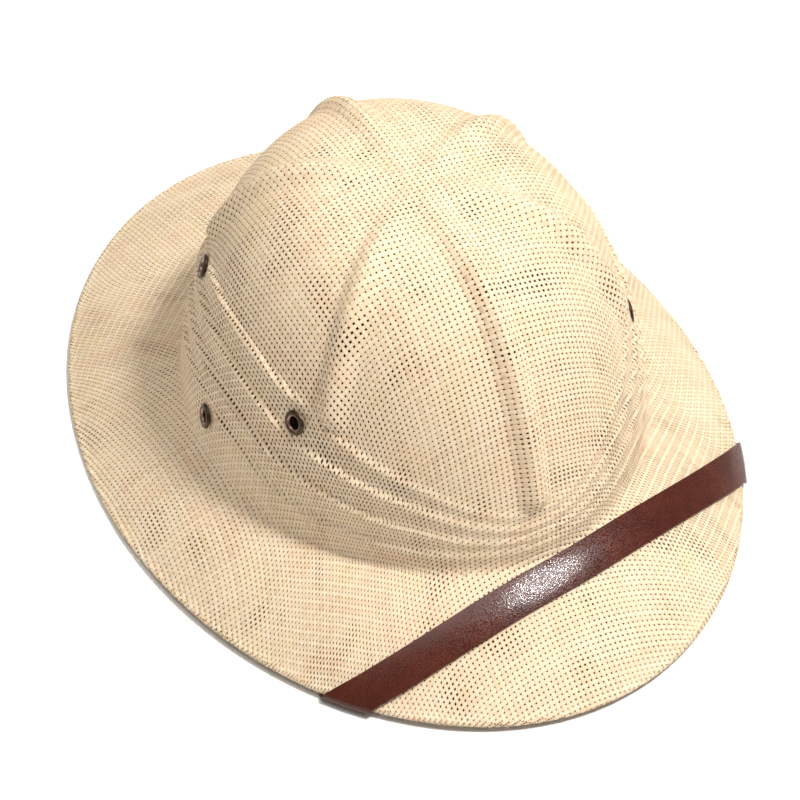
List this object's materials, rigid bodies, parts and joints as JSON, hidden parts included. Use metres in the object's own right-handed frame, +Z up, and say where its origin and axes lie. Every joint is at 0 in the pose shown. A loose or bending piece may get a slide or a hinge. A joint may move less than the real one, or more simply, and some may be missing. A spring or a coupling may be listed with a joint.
{
  "type": "pith helmet",
  "caption": "Woven straw pith helmet with a ribbed crown, folded band, sloping brim, metal eyelets and a leather chin strap over the front.",
  "frame": {"origin": "under the middle of the brim's outline, on the surface that the helmet rests on", "axes": "+Z up, -Y towards the front of the helmet, +X towards the wearer's left"},
  "size_m": [0.2712, 0.3528, 0.1505],
  "materials": {
    "straw": "matt woven paper straw",
    "strap": "smooth coated leather with a fine grain",
    "eyelet": "dark bronze plating"
  },
  "bodies": {
    "root": {"straw_shell": "straw", "chin_strap": "strap", "eyelet_right_rear": "eyelet", "eyelet_right_low": "eyelet", "eyelet_right_front": "eyelet", "eyelet_left_front": "eyelet", "eyelet_left_low": "eyelet", "eyelet_left_rear": "eyelet"}
  },
  "joints": []
}
